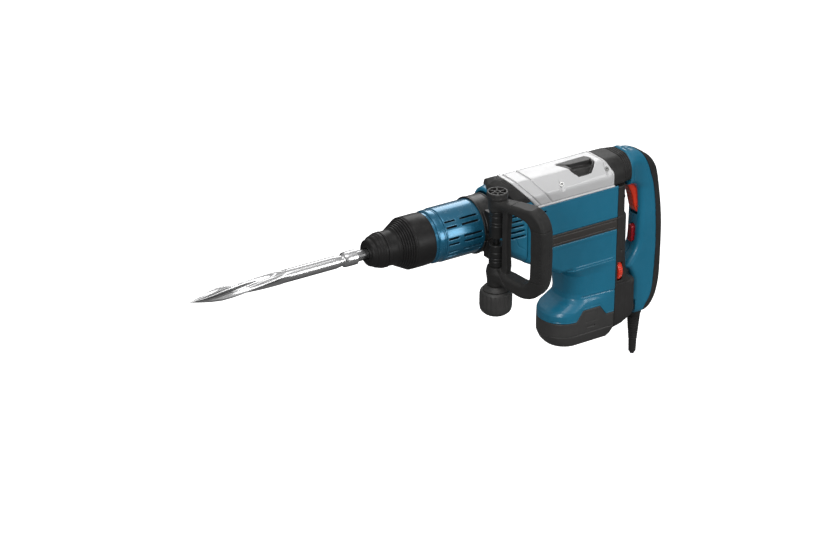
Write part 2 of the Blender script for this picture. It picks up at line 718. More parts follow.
# ---------------------------------------------------------------- gear housing and its trim
INSERT = [  # plan (x, y) of the shoulder insert
    (376.4, 2.4), (382.0, 6.0), (436.0, 6.0), (444.4, -4.0), (443.0, -19.0), (435.0, -28.0),
    (424.0, -35.5), (399.0, -35.5), (389.0, -26.0)]
INSERT_POCKET = [
    (392.0, -7.0), (437.0, -5.0), (441.0, -8.0), (438.0, -18.0), (430.0, -26.0),
    (420.0, -32.5), (402.0, -32.5), (394.5, -24.0)]
INSERT_RIDGE = [
    (378.4, 3.4), (383.6, 5.4), (437.6, 5.4), (443.0, -2.0), (441.0, -10.0), (436.0, -12.6),
    (398.0, -9.0), (388.0, -3.0)]
BUMPER_SIDE = [  # (x, z)
    (236.5, 30.0), (235.0, 58.0), (238.0, 64.5), (256.0, 73.0), (268.0, 69.0), (330.0, -6.0),
    (300.0, 0.0)]


def flange_plane(x, z, setback=0.0):
    """Front flange plane, leaning back towards the bottom; negative behind it."""
    return (-(x - 269.0 - setback) - (z - 66.5) * 0.875) / 1.329


def gear_skin(x, y, z, grow=0.0):
    """Arched section with shoulders that are chamfered deeper towards the front."""
    section = arch(y, z, HALF_WIDTH + grow, 66.0 + grow, 29.0, GEAR_BOTTOM)
    shoulder = (np.abs(y) + z - 90.8 - grow * 1.4) * DIAGONAL
    rearward = np.clip((x - 380.0) / 80.0, 0, 1)
    return np.maximum(section, shoulder + (1 - rearward) * 2.2)


def gear_housing():
    grid = Grid((262, -46, 9), (474, 46, 69), 0.95)
    x, y, z = grid.axes
    skin = gear_skin(x, y, z)
    front = flange_plane(x, z)
    rear = x - 470.0 + 8.0 * np.clip((z - 46.0) / 20.0, 0, 1)
    body = bevel(bevel(skin, front, 1.6), rear, 3.2)
    flange = bevel(gear_skin(x, y, z, 0.9), front, 1.2)
    body = join(body, meet(flange, -flange_plane(x, z, 8.6)))
    # grooves behind the flange, further back and near the rear
    lean = (66.5 - z) * 0.07
    body = cut(body,
               meet(band(flange_plane(x, z, 9.6), 0, 1.1), shallow(skin, 1.9)),
               meet(band(flange_plane(x, z, 37.5), lean, 1.15), shallow(skin, 1.6)),
               meet(band(rear, -6.6, 0.6), shallow(skin, 1.0)))
    lip = meet(gear_skin(x, y, z, 0.7), slab(z, GEAR_BOTTOM, 23.4), slab(x, 300, 469.5), front)
    body = soft_join(body, lip, 0.8)
    body = cut(body, meet(band(z, 24.6, 0.7), shallow(skin, 1.1)))
    # elongated dimples and bores around the four housing screws
    for side in (-1, 1):
        for screw_x, degrees in ((361.0, 30.0), (457.0, 40.0)):
            def reach(length, turn=0):
                angle = rad(degrees + turn)
                direction = np.array((0, side * math.cos(angle), math.sin(angle)))
                return np.array((screw_x, side * 14.0, 36.0)) + length * direction

            dimple = capsule(x, y, z, reach(31.2, -14), reach(31.2, 13), 4.7)
            body = soft_cut(body, dimple, 1.6)
            body = cut(body, capsule(x, y, z, reach(29.6), reach(HALF_WIDTH), 4.35))
    insert_recess = meet(outline(x, y, INSERT), 43.4 - z)
    cavity = meet(arch(y, z, 39.6, 61.6, 26.0, 0.0), slab(x, 297.0, 466.0), skin + 3.6)
    front_bore = meet(disc(y, z, 0, 0, 38.5), slab(x, 240.0, 300.0))
    rear_opening = meet(arch(y, z, 36.0, 58.0, 22.0, 27.0), slab(x, 460.0, 480.0))
    body = cut(body, insert_recess, cavity, front_bore, rear_opening)
    attach(solid("gear_housing_casting", grid, meet(body, GEAR_BOTTOM - z)),
           "silver_casting", "housing", "gear_housing")


def shoulder_insert():
    """Insert with a raised finger ridge and a deep pocket."""
    grid = Grid((372, -44, 42), (450, 9, 71), 0.6)
    x, y, z = grid.axes
    bottom = 44.0
    skin = gear_skin(x, y, z)
    body = round_meet(meet(outline(x, y, INSERT) + 0.55, bottom - z), skin + 0.9, 1.2)
    body = soft_cut(body, meet(outline(x, y, INSERT_POCKET), shallow(skin, 7.0)), 2.0)
    ridge_top = 66.2 + (x - 378.0) * 0.030
    ridge = meet(outline(x, y, INSERT_RIDGE), z - ridge_top, 52.0 - z)
    body = soft_join(body, bevel(ridge, z - ridge_top, 1.0), 1.4)
    for k in range(5):
        groove = meet(band(x, 402.0 + 7.0 * k, 0.7), band(y, -2.0, 4.2), ridge_top - 0.6 - z)
        body = cut(body, groove)
    body = meet(body, bottom - z)
    body = cut(body, meet(slab(x, 394, 434), slab(y, -30, 0), slab(z, 40, 50)))
    attach(solid("shoulder_insert", grid, body), "black_nylon", "housing", "top_insert")


def front_bumper():
    """Rubber guard in front of the gear housing flange."""
    grid = Grid((228, -47, 26), (312, 47, 74), 0.85)
    x, y, z = grid.axes
    width = np.abs(y)
    skin = meet(arch(y, z, 44.6, 71.0, 30.0, 30.0), (width + z - 92.0) * DIAGONAL,
                (width * 0.50 + z - 76.0) * 0.894)
    swept = x - 0.52 * width
    body = round_meet(skin, outline(swept, z, BUMPER_SIDE), 1.6)
    body = meet(bevel(body, -flange_plane(x, z, -0.8), 1.2), 36.0 - z)
    body = cut(body, meet(disc(y, z, 0, 0, 45.6), slab(x, 200, 260)),
               arch(y, z, 40.4, 56.4, 27.0, -60.0))
    for k in range(3):
        body = cut(body, meet(band(swept - 250.0, 5.0 * k, 0.5), shallow(skin, 0.9), 66.0 - z))
    attach(solid("front_bumper", grid, body), "black_rubber", "housing", "top_guard")


def louvres(x, y, z, count, first, pitch, half_length, inner_y):
    """Falling rows of side slots; first and pitch are (x, z)."""
    return [meet(round_rect(x, z, (first[0] + pitch[0] * i, first[1] - pitch[1] * i),
                            (half_length, 1.7), 1.6), inner_y - np.abs(y))
            for i in range(count)]


def front_casing():
    grid = Grid((233, -46, -82), (324, 46, 62), 1.05)
    x, y, z = grid.axes
    half_width = along(x, [235, 262, 290, 330], [39.0, 43.2, 44.0, 44.0])
    top = along(x, [235, 262, 290, 330], [55.0, 59.0, 60.0, 60.0])
    bottom = along(x, [235, 262, 290, 330], [-42.0, -62.0, -78.6, -79])
    section = meet(
        round_rect(y, z, (0.0, (top + bottom) / 2), (half_width, (top - bottom) / 2), 16.0),
        arch(y, z, half_width, top, 30.0, -90.0))
    body = round_meet(section, slab(x, 235.2, 289.7), 2.2)
    body = join(body, meet(section, slab(x, 280.0, 316.0), 22.6 - z))
    body = meet(body, -flange_plane(x, z, -1.0))
    # hollow, with a thicker wall at the front
    body = cut(body, section + 3.0 + 3.0 * (x < 239),
               meet(disc(y, z, 0, 0, 38.6), slab(x, 228, 262)),
               *louvres(x, y, z, 5, (262.0, 15.6), (2.0, 9.6), 16.0, 28.0))
    panel = outline(x, z, [(246, 24), (286, 24), (286, -50), (272, -40)])
    body = cut(body, meet(band(panel, 0, 0.45), shallow(section, 0.8)))
    attach(solid("front_casing_shell", grid, body), "teal_moulding", "housing", "front_casing")


# ---------------------------------------------------------------- motor housing and base cap
# Lower motor housing: z, front x, half width, corner radius
LOWER_BODY = (
    (-118.5, 366.0, 44.0, 30.0), (-124.0, 376.0, 42.4, 30.0), (-134.0, 386.0, 40.6, 30.0),
    (-170.0, 389.0, 39.4, 31.0), (-179.0, 387.0, 40.2, 33.0), (-185.0, 382.0, 42.4, 36.0),
    (-191.0, 371.0, 43.5, 40.0), (-198.0, 358.0, 44.0, 42.0), (-204.0, 353.6, 44.0, 42.5),
    (-217.5, 353.0, 44.0, 42.5))
# Base cap: z, front x, rear x, half width, corner radius
BASE_CAP = (
    (-190.0, 353.0, 478.0, 44.0, 42.5), (-244.0, 353.0, 478.0, 44.0, 42.5),
    (-249.0, 354.6, 477.0, 43.0, 41.5), (-258.0, 359.0, 473.0, 40.4, 38.5),
    (-267.0, 367.0, 467.0, 35.6, 33.5))
ROUND_BEYOND = 60                # rear corner rounding lies this far past the rear cut


def lower_body(x, y, z, rear=MOTOR_REAR):
    front, half_width, radius = by_height(z, LOWER_BODY)
    centre = (front + rear + ROUND_BEYOND) / 2
    flared = half_width + (HALF_WIDTH - half_width) * np.clip((x - 432.0) / 40.0, 0, 1)
    return meet(round_rect(x, y, (centre, 0.0), (centre - front, flared), radius), x - rear)


def cap_joint(x):
    """Height of the joint between motor housing and base cap, with a raised step."""
    return along(x, [340, 397.0, 411.0, 446.5, 460.5, 490],
                 [-217.6, -217.6, -198.6, -198.6, -217.6, -217.6])


def motor_housing():
    grid = Grid((288, -46, -220), (479, 46, 23), 1.15)
    x, y, z = grid.axes
    wall = 3.0
    upper_side = outline(x, z, [(290.0, 80.0), (560.0, 80.0), (560.0, -119.0), (362.0, -119.0),
                                (290.0, -79.0)])
    width = np.abs(y) - HALF_WIDTH
    upper = bevel(round_meet(upper_side, width, 13.0), width, 0.1)
    upper = bevel(meet(upper, z - MOTOR_TOP), width, 0.6)
    outer = soft_join(upper, meet(lower_body(x, y, z), z + 110.0), 1.2)
    joint = cap_joint(x)
    body = meet(outer, x - MOTOR_REAR, slab(z, -300, MOTOR_TOP), (joint + 0.3 - z) * 0.8)
    # groove above the joint, then creases at the top of the waist and low on it
    body = cut(body,
               meet(np.abs(z - joint - 3.6) - 0.55, shallow(outer, 0.8)),
               meet(band(z, -117.0, 0.5), 360.0 - x, x - 476.0, 24.0 - np.abs(y),
                    shallow(outer, 0.9)),
               meet(band(z, -175.0, 0.85), shallow(outer, 1.2), 37.5 - np.abs(y)))
    # engraved frame, sunk lower panel and the slot for the side strip
    frame_line = band(round_rect(x, z, (402.0, -9.5), (70.0, 24.0), 4.0), 0, 0.5)
    low_panel = outline(x, z, [(300.0, -66.0), (472.0, -66.0), (472.0, -113.0), (366.0, -113.0),
                               (300.0, -77.0)])
    body = cut(body,
               meet(frame_line, 41.0 - np.abs(y), shallow(outer, 0.55)),
               meet(low_panel + 1.0, 43.25 - np.abs(y)),
               meet(slab(x, 338.4, 480.0), slab(z, -60.2, -37.6), 42.5 - np.abs(y)),
               *louvres(x, y, z, 6, (314.0, 9.6), (1.6, 9.6), 14.0, 30.0))
    inner = join(round_meet(upper_side + wall, width + wall, 10.0),
                 lower_body(x, y, z, rear=520.0) + 3.2)
    body = cut(body, inner, meet(disc(y, z, 0.0, 0.0, 23.4), slab(x, 280.0, 300.0)))
    attach(solid("motor_housing_shell", grid, body), "teal_moulding", "housing", "motor_housing")


def side_strips():
    grid = Grid((330, 41, -62), (479, 46, -36), 0.55)
    x, y, z = grid.axes
    middle_x, middle_z = 408.1, -49.0
    face = round_rect(x, z, (middle_x, middle_z), (69.1, 10.7), 1.0)
    body = meet(round_meet(face, y - 44.3, 0.7), 42.7 - y)
    for line_z in (middle_z + 5.8, middle_z - 5.8):
        line = round_rect(x, z, (middle_x, line_z), (65.5, 0.55), 0.5)
        body = cut(body, meet(line, 43.7 - y))
    right = solid("side_strip_right", grid, body)
    left = solid("side_strip_left", grid, body, lambda points: points * np.array([1, -1, 1]))
    left.data.flip_normals()
    for strip in (right, left):
        attach(strip, "dark_trim", "housing", "side_trims")


def cap_body(x, y, z, grow=0.0):
    front, rear, half_width, radius = by_height(z, BASE_CAP)
    half_length = (rear + ROUND_BEYOND - front) / 2 + grow
    section = round_rect(x, y, ((front + rear + ROUND_BEYOND) / 2, 0.0),
                         (half_length, half_width + grow), radius)
    return bevel(section, x - rear - grow, 1.5)


def base_cap():
    grid = Grid((350, -46, -269), (480, 46, -194), 0.95)
    x, y, z = grid.axes
    bottom = -267.0
    skin = cap_body(x, y, z)
    body = np.where(z > -218.0, lower_body(x, y, z, rear=478.0), skin)
    body = meet(body, z - cap_joint(x) + 0.35, bottom - z)
    body = bevel(body, bottom - z, 1.6)
    # hollow, belt line, side slot and the frame engraved around the step
    step_frame = band(round_rect(x, z, (428.8, -214.0), (12.0, 9.0), 2.0), 0, 0.45)
    body = cut(body,
               meet(cap_body(x, y, z, grow=-3.4), -262.0 - z),
               meet(band(z, -243.0, 0.55), shallow(skin, 0.9)),
               meet(round_rect(x, z, (428.0, -232.0), (9.0, 1.5), 1.4), 41.5 - np.abs(y)),
               meet(step_frame, 43.2 - np.abs(y), -z - 226))
    # louvres and four round recesses in the underside
    for i in range(6):
        louvre = round_rect(x, y, (398.0 + 9.0 * i, 0.0), (2.0, 22.0), 1.9)
        body = cut(body, meet(louvre, z + 255.0))
    for recess_x, recess_y in ((382.0, 16.0), (456.0, 24.0)):
        body = cut(body, meet(disc(x, np.abs(y), recess_x, recess_y, 4.5), z + 263.8))
    attach(solid("base_cap", grid, body), "grey_black_nylon", "housing", "motor_cap")


# ---------------------------------------------------------------- rear cover
COVER_SIDE = [  # (x, z), from the top of the joint face round the back
    (COVER_FRONT, COVER_TOP), (499.0, COVER_TOP), (500.0, -34.0), (504.0, -40.0),
    (504.8, -118.0), (506.5, -138.0), (509.0, -156.0), (516.0, -163.5), (524.0, -167.0),
    (525.0, -224.0), (520.0, -237.0), (498.0, -249.0), (COVER_FRONT, -255.0)]


def rear_cover():
    grid = Grid((476, -46, -258), (544, 46, 22), 1.0)
    x, y, z = grid.axes
    side = outline(x, z, COVER_SIDE)
    # the same outline carried past the joint and the top, so only the back is rounded
    long_side = outline(
        x, z, [(440.0, 40.0), (499.0, 40.0)] + COVER_SIDE[2:12] + [(440.0, -262.0)])
    edge_radius = along(z, [-170.0, -140.0], [11.5, 16.5])
    skin = round_meet(long_side, np.abs(y) - HALF_WIDTH, edge_radius)
    body = bevel(meet(skin, side, COVER_FRONT - x), z - COVER_TOP, 0.8)
    body = cut(body,
               meet(skin + 3.2, side, 470.0 - x, slab(z, -247.0, 14.8)),
               meet(skin + 3.2, slab(x, 470.0, 486.0), slab(z, -246.0, 14.6)))
    # seams, slots across the back, a hole in each side and the dial window on the left
    body = cut(body,
               meet(band(z, -37.0, 0.5), shallow(skin, 0.9)),
               meet(band(z, -166.0, 0.5), shallow(skin, 0.8)),
               meet(band(x, 500.0, 0.5), slab(z, -250, -168), shallow(skin, 0.8)),
               *(meet(round_rect(y, z, (0.0, slot_z), (22.0, 1.5), 1.4), 501.0 - x)
                 for slot_z in (-62.0, -70.0, -78.0, -86.0)),
               meet(disc(x, z, 488.0, -103.0, 1.6), 42.4 - np.abs(y)),
               meet(round_rect(x, z, (486.5, DIAL_Z), (5.3, 17.4), 1.2), y + 36.0))
    for screw_y, screw_z, floor_x, _ in REAR_SCREWS:
        body = cut(body, meet(disc(np.abs(y), z, screw_y, screw_z, 4.0), floor_x - x))
    # pair of lugs for the handle pivot
    lugs = join(disc(x, z, PIVOT_X, PIVOT_Z, 11.0),
                meet(slab(x, 508.0, PIVOT_X), slab(z, PIVOT_Z - 11.0, PIVOT_Z + 11.0)))
    lugs = cut(meet(lugs, slab(np.abs(y), 13.2, 19.0)), disc(x, z, PIVOT_X, PIVOT_Z, 4.0))
    attach(solid("rear_cover_shell", grid, join(body, lugs)),
           "black_nylon", "housing", "rear_cover")


def casing_screws():
    """CAD casing screws, the rear ones shifted along X to suit the cover's recesses."""
    source = NODES["casing_screws"]
    points = []
    for vertex in source.data.vertices:
        point = source.matrix_world @ vertex.co
        for _, height, _, shift in REAR_SCREWS:
            if point.x > 0.470 and abs(point.z - height * MM) < 0.009:
                point.x += shift * MM
                break
        points.append(tuple(point))
    mesh = bpy.data.meshes.new("casing_screw_heads")
    mesh.from_pydata(points, [], [tuple(face.vertices) for face in source.data.polygons])
    mesh.validate()
    attach(link_object("casing_screw_heads", mesh, sharp_angle=35),
           "black_screws", "housing", "casing_screws")


def speed_dial():
    """Thumb wheel with notches round its rim and an axle towards the rear."""
    grid = Grid((480, -50, -165), (498, -6, -121), 0.5)
    x, y, z = grid.axes
    radius = distance(y, z, DIAL_Y, DIAL_Z)
    angle = np.arctan2(z - DIAL_Z, y - DIAL_Y)
    body = bevel(radius - 20.0, slab(x, 482.1, 490.9), 1.4)
    body = cut(body, meet(band(x, 486.5, 3.4), 19.6 - radius + 1.1 * np.cos(angle * 26)))
    body = join(body, meet(radius - 3.0, slab(x, 489.0, 496.0)))
    attach(solid("speed_dial_wheel", grid, body), "orange_red", "speed_dial", "speed_dial")


# ---------------------------------------------------------------- bellows
BELLOWS_FRONT = 468.6
RIB_START, RIB_PITCH, RIB_DEPTH = 491.0, 4.6, 1.35


def bellows_section(x, offset):
    """One ring of the bellows at x, moved out by offset."""
    t = (x - BELLOWS_FRONT) / 42.6
    rib = -0.8 if x < 470 else 0.0
    if x > RIB_START:
        wave = 0.5 + 0.5 * math.cos((x - RIB_START) / RIB_PITCH * 2 * math.pi)
        rib = RIB_DEPTH * wave ** 0.7 - RIB_DEPTH
    half_width = 42.9 - 1.5 * t - 5.2 * max(t - 0.45, 0) ** 1.2 / 0.5 + rib + offset
    top = 64.9 + 0.2 * t - 0.8 * max(t - 0.6, 0) + rib + offset
    bottom = 20.4 - 0.6 * rib - offset
    big, small = 28.0 + offset, 7.0
    arcs = []
    for centre_y, centre_z, radius, start in (
            (half_width - big, top - big, big, 0), (big - half_width, top - big, big, 90),
            (small - half_width, bottom + small, small, 180),
            (half_width - small, bottom + small, small, 270)):
        angles = [rad(start + 90.0 * k / 12) for k in range(13)]
        arcs.append([(centre_y + radius * math.cos(a), centre_z + radius * math.sin(a))
                     for a in angles])
    ring = []
    for arc, following in zip(arcs, arcs[1:] + arcs[:1]):
        (y0, z0), (y1, z1) = arc[-1], following[0]
        ring += arc + [(y0 + (y1 - y0) * k / 9, z0 + (z1 - z0) * k / 9) for k in range(1, 9)]
    y, z = np.array(ring).T
    # the upper front edge leans forward
    lean = 8.0 * np.clip((z - 44.0) / 20.0, 0, 1) * max(1.0 - (x - BELLOWS_FRONT) / 20.0, 0.0)
    return np.stack([x - lean, y, z], 1)


def bellows():
    """Vibration bellows between the housing and the rear handle."""
    stations = np.concatenate([[BELLOWS_FRONT, 470.4], np.linspace(472, RIB_START, 10),
                               np.linspace(491.6, 509.4, 46), [511.2]])
    rings = [bellows_section(x, 0.0) for x in stations]
    rings += [bellows_section(x, -2.4) for x in stations[::-1]]
    points = np.concatenate(rings)
    quads = face_outward(points, ring_quads(len(rings), len(rings[0])))
    ob = quad_object("vibration_bellows", points, quads, sharp_angle=60)
    ob.data.materials.append(MATERIALS["black_rubber"])
    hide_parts("bellows_front", "bellows_rear")
    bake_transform(ob)


# ---------------------------------------------------------------- rear D handle
# Side curves of (x, z)
HANDLE_SIDE = spline([
    (511.0, 63.0), (524.0, 62.9), (536.0, 61.5), (553.0, 54.0), (568.0, 42.0), (579.0, 26.0),
    (584.0, 10.0), (587.0, -5.0), (594.0, -50.0), (597.5, -91.0), (598.0, -140.0),
    (597.0, -190.0), (592.0, -218.0), (586.0, -233.0), (577.0, -245.0), (566.0, -251.0),
    (552.0, -252.0), (543.0, -251.0), (536.0, -246.0), (534.0, -236.0), (534.5, -222.0),
    (536.5, -203.0), (535.0, -180.0), (529.0, -164.0), (520.5, -157.5), (518.8, -153.0),
    (521.5, -149.0), (530.0, -140.0), (539.0, -128.0), (544.0, -112.0), (545.2, -88.0),
    (545.4, -62.0), (545.0, -36.0), (541.0, -9.0), (527.0, 4.0), (511.0, 10.0)])
HANDLE_SIDE = [(max(x, HANDLE_FRONT), z) for x, z in HANDLE_SIDE]
RUBBER_SIDE = spline([
    (538.0, 90.0), (538.0, 61.2), (544.0, 49.0), (552.5, 34.0), (561.5, 10.0), (569.0, -17.0),
    (574.5, -66.0), (576.8, -115.0), (576.5, -152.0), (575.0, -182.0), (573.5, -203.0),
    (569.0, -222.0), (559.0, -238.0), (556.0, -250.0), (556.0, -300.0), (650.0, -300.0),
    (650.0, 90.0)])
TRIGGER_SIDE = spline([
    (519.0, 6.0), (523.5, 11.6), (532.0, 12.6), (543.0, 12.0), (551.0, -12.0), (557.0, -30.0),
    (558.5, -50.0), (554.0, -57.5), (546.6, -58.5), (541.6, -51.0), (538.0, -39.0),
    (533.5, -22.0), (526.0, -7.0)])
TRIGGER_OPENING = [
    (500.0, 17.0), (528.0, 20.0), (558.0, 20.0), (566.0, -58.0), (558.0, -64.5),
    (530.0, -64.5), (500.0, -6.0)]
# Neck that joins the handle to the bellows: stations in x and the sizes there
NECK_X = (505, 511.0, 520, 530.0, 543, 556.0, 570)
NECK_HALF_WIDTH = (35.4, 35.4, 32.4, 28.0, 23.4, 19.6, 17.0)
NECK_TOP = (63.6, 63.6, 62.9, 61.4, 57.0, 50.0, 38.0)
NECK_BOTTOM = (6, 6.0, 4.5, 2.0, -6.0, -14.0, -20.0)


def handle_body(x, y, z, grow=0.0):
    bow = round_meet(outline(x, z, HANDLE_SIDE) - grow, np.abs(y) - 20.0 - grow,
                     10.0 + grow * 0.5)
    half_width, top, bottom = (along(x, NECK_X, values)
                               for values in (NECK_HALF_WIDTH, NECK_TOP, NECK_BOTTOM))
    section = round_rect(y, z, (0.0, (top + bottom) / 2), (half_width, (top - bottom) / 2), 16.0)
    neck = round_meet(section, arch(y, z, half_width, top, 24.0, -60.0), 2.0) - grow
    neck = meet(neck, HANDLE_FRONT - x, x - 560.0)
    return meet(soft_join(bow, neck, 7.0), HANDLE_FRONT - x)


def rear_handle():
    grid = Grid((509, -37, -267), (600, 37, 66), 1.0)
    x, y, z = grid.axes
    width = np.abs(y)
    skin = handle_body(x, y, z)
    inner = handle_body(x, y, z, grow=-4.2)
    hollow = cut(join(meet(inner, width - 13.2), meet(inner, x - 531.0, 16.0 - z)),
                 disc(x, z, PIVOT_X, PIVOT_Z, 10.0),
                 meet(slab(x, PIVOT_X, 548), slab(z, -246.0, -226.0)))
    trigger_slot = meet(outline(x, z, TRIGGER_OPENING), width - 10.3)
    lock_slot = meet(round_rect(y, z, (0.0, LOCK_Z), (6.5, 17.2), 6.4), slab(x, 515.0, 559.0))
    lug_room = meet(slab(x, 512.0, 541.8), slab(z, -250.0, -222.0), width - 24.0)
    boot_hole = meet(disc(x, y, CORD_X, 0.0, 12.2), z + 241.5)
    bellows_opening = meet(arch(y, z, 31.6, 59.0, 22.0, 16.0), x - 520.0)
    shape = cut(skin, hollow, trigger_slot, lock_slot, lug_room, boot_hole, bellows_opening)
    tongue = join(meet(disc(x, z, PIVOT_X, PIVOT_Z, 9.6), width - 12.0),
                  meet(slab(x, PIVOT_X, 552.0), slab(z, -245.6, -226.4), width - 12.0))
    tongue = cut(tongue, disc(x, z, PIVOT_X, PIVOT_Z, 4.03))
    shape = join(shape, meet(tongue, -1.0))

    rubber_side = outline(x, z, RUBBER_SIDE)
    rubber = rubber_side + 5.5
    gap = 0.22
    moulding = meet(shape, -(rubber - gap))
    moulding = cut(moulding,
                   meet(band(rubber_side, 3.0, 0.45), shallow(skin, 0.55), slab(z, -212, 26)),
                   meet(band(rubber, 0.9, 0.9), shallow(skin, 0.7)))
    # screw recesses on the right side
    for screw_x, screw_z in ((538.0, 34.0), (553.5, -128.0), (551.0, -212.0)):
        moulding = cut(moulding, meet(disc(x, z, screw_x, screw_z, 3.9), 17.3 - y))
    for name, side in (("left", -1), ("right", 1)):
        half = solid("handle_shell_%s_moulding" % name, grid, meet(moulding, 0.12 - side * y))
        attach(half, "teal_moulding", "rear_handle", "handle_shell_%s" % name)
    grip = meet(shape, rubber + gap)
    for k in range(3):
        line = band(rubber_side + 12.0, -4.0 * k, 0.5)
        grip = cut(grip, meet(line, shallow(skin, 0.6), slab(z, -190 + 10 * k, 10 - 10 * k)))
    attach(solid("handle_soft_grip", grid, grip), "black_rubber", "rear_handle", "handle_grip")


def trigger():
    grid = Grid((512, -11, -62), (564, 11, 17), 0.5)
    x, y, z = grid.axes
    width = np.abs(y)
    side = outline(x, z, TRIGGER_SIDE)
    body = round_meet(side, width - 9.7, 2.6)
    for k in range(6):
        groove = band((z + 6.0 + 7.0 * k) + (x - 527.0) * 0.30, 0, 0.55)
        body = soft_cut(body, meet(groove, width - 6.2, shallow(side, 0.55), x - 543.0), 0.4)
    body = cut(body, meet(band(width, 7.6, 0.3), shallow(side, 0.4), x - 547.0),
               disc(x, z, 547.0, -47.0, 2.55))
    attach(solid("trigger_lever", grid, body), "orange_red", "trigger", "trigger")


def lock_button():
    """Domed oval with a dished front face, five ribs and a broader foot behind."""
    grid = Grid((536, -9, -120), (559, 9, -80), 0.45)
    x, y, z = grid.axes
    front = 538.0
    oval = round_rect(y, z, (0.0, LOCK_Z), (5.9, 16.6), 5.8)
    body = meet(round_meet(oval, front - x, 2.2), x - 553.0)
    dish = round_rect(y, z, (0.0, LOCK_Z), (3.6, 13.6), 3.5)
    body = soft_cut(body, meet(dish, x - 538.9), 0.7)
    for k in range(-2, 3):
        rib = meet(band(z - LOCK_Z, 4.4 * k, 0.55), np.abs(y) - 2.6, slab(x, 538.4, 540.4))
        body = join(body, rib)
    foot = meet(slab(x, 552.4, 555.4), slab(y, -8.0, 8.0), slab(z, LOCK_Z - 9.0, LOCK_Z + 9.0))
    attach(solid("lock_button_cap", grid, join(body, foot)),
           "dark_red", "lock_button", "lock_button")


def cord_boot():
    """Boot with eleven ring ribs, as (z, radius)."""
    inner, first_rib, pitch = 4.4, -259.5, 4.8
    profile = [(-242.4, inner), (-242.4, 12.0), (-252.6, 12.0), (-253.4, 13.6), (-256.6, 13.6),
               (-258.2, 12.4)]
    for i in range(11):
        top = first_rib - pitch * i
        radius = 12.1 + (top - first_rib) * 0.085
        profile += [(top, radius), (top - 2.6, radius - 0.25), (top - 3.1, radius - 1.9),
                    (top - 4.3, radius - 2.0)]
    profile += [(first_rib - pitch * 11, 7.3), (-326.0, 6.9), (-335.0, 6.6), (-335.0, inner)]
    attach(lathe("cord_boot_moulding", profile, 0.5, count=72, upright_at=CORD_X),
           "black_rubber", "rear_handle", "cord_boot")


# ---------------------------------------------------------------- side handle
def clamp_band():
    """Ring round the barrel with two ears on the grip bolt."""
    grid = Grid((198, -80, -52), (234, 51, 52), 0.8)
    x, y, z = grid.axes
    radius = np.sqrt(y ** 2 + z ** 2)
    bolt = distance(x, y, GRIP_X, GRIP_Y)
    front, rear = 200.0, 231.5
    ring = bevel(slab(x, front, rear), radius - 48.2, 1.6)
    rims = meet(join(slab(x, front, front + 3.4), slab(x, rear - 3.4, rear)), radius - 49.4)
    ring = join(ring, bevel(rims, radius - 49.4, 0.6))
    ears = meet(bolt - 13.0, join(slab(z, 2.0, 49.0), slab(z, -50.0, -11.5)))
    webs = meet(slab(x, 206.4, 226.4), slab(y, GRIP_Y, -35.0),
                join(slab(z, 8.0, 40.0), slab(z, -44.0, -12.0)))
    body = soft_join(ring, soft_join(ears, webs, 2.5), 3.0)
    for groove_z in (41.0, 30.0, 24.5, -24.0, -34.5, -40.0):
        body = cut(body, meet(band(z, groove_z, 0.65), 12.1 - bolt, y + 52.0))
    body = cut(body, meet(slab(y, -82.0, -38.0), slab(z, -11.4, 1.9)), radius - 46.15,
               bolt - 5.05)
    attach(solid("clamp_band_casting", grid, meet(body, slab(z, -50.0, 49.8))),
           "black_coated_casting", "handle_clamp", "clamp_band")


def bolt_cap():
    """Dished cap over the bolt with six spokes and ten scallops round the rim."""
    grid = Grid((193, -83, 70), (233, -43, 84), 0.5)
    x, y, z = grid.axes
    radius = distance(x, y, GRIP_X, GRIP_Y)
    angle = np.arctan2(y - GRIP_Y, x - GRIP_X)
    body = bevel(radius - 17.8, slab(z, 71.6, 83.0), 1.2)
    body = cut(body, meet(radius - 14.6, 76.6 - z))
    spokes = meet(np.abs(np.sin(angle * 3.0)) * radius / 3.0 - 1.1, radius - 15.0,
                  slab(z, 75.0, 82.0))
    body = join(body, spokes, meet(radius - 5.8, slab(z, 75.0, 82.4)))
    body = cut(body, meet(radius - 3.6, 79.0 - z))
    for k in range(10):
        turn = 2 * math.pi * k / 10
        scallop = disc(x, y, GRIP_X + 19.2 * math.cos(turn), GRIP_Y + 19.2 * math.sin(turn), 2.2)
        body = cut(body, meet(scallop, 75.0 - z))
    body = cut(body, meet(radius - 9.3, z - 76.1))
    attach(solid("bolt_cap_moulding", grid, body), "black_nylon", "handle_clamp", "bolt_cap")


# The grip is drawn with its bolt on the Z axis and its bow towards +X, then swung outwards
GRIP_COS, GRIP_SIN = math.cos(rad(-70.0)), math.sin(rad(-70.0))
BOW = (  # centre line (x, z) of the bow, from the upper hub round to the lower hub
    [(4.0, 62.0), (40.0, 62.5), (58.0, 61.0)]
    + [(58 + 30 * math.sin(a), 31 + 30 * math.cos(a)) for a in np.linspace(0.15, math.pi / 2, 9)]
    + [(89.0, -12.0), (88.0, -46.0)]
    + [(58 + 30 * math.cos(a), -47 - 31 * math.sin(a))
       for a in np.linspace(0.15, math.pi / 2 + 0.25, 9)]
    + [(30.0, -71.5), (4.0, -66.0)])
INNER_BAR = [(14.6, 62.0), (14.6, -72.0), (23.6, -72.0), (27.0, -48.0), (24.6, 0.5),
             (27.0, 44.0), (23.6, 62.0)]


def swing_grip(points):
    x, y, z = points.T
    return np.stack([GRIP_X + x * GRIP_COS - y * GRIP_SIN,
                     GRIP_Y + x * GRIP_SIN + y * GRIP_COS, z], 1)


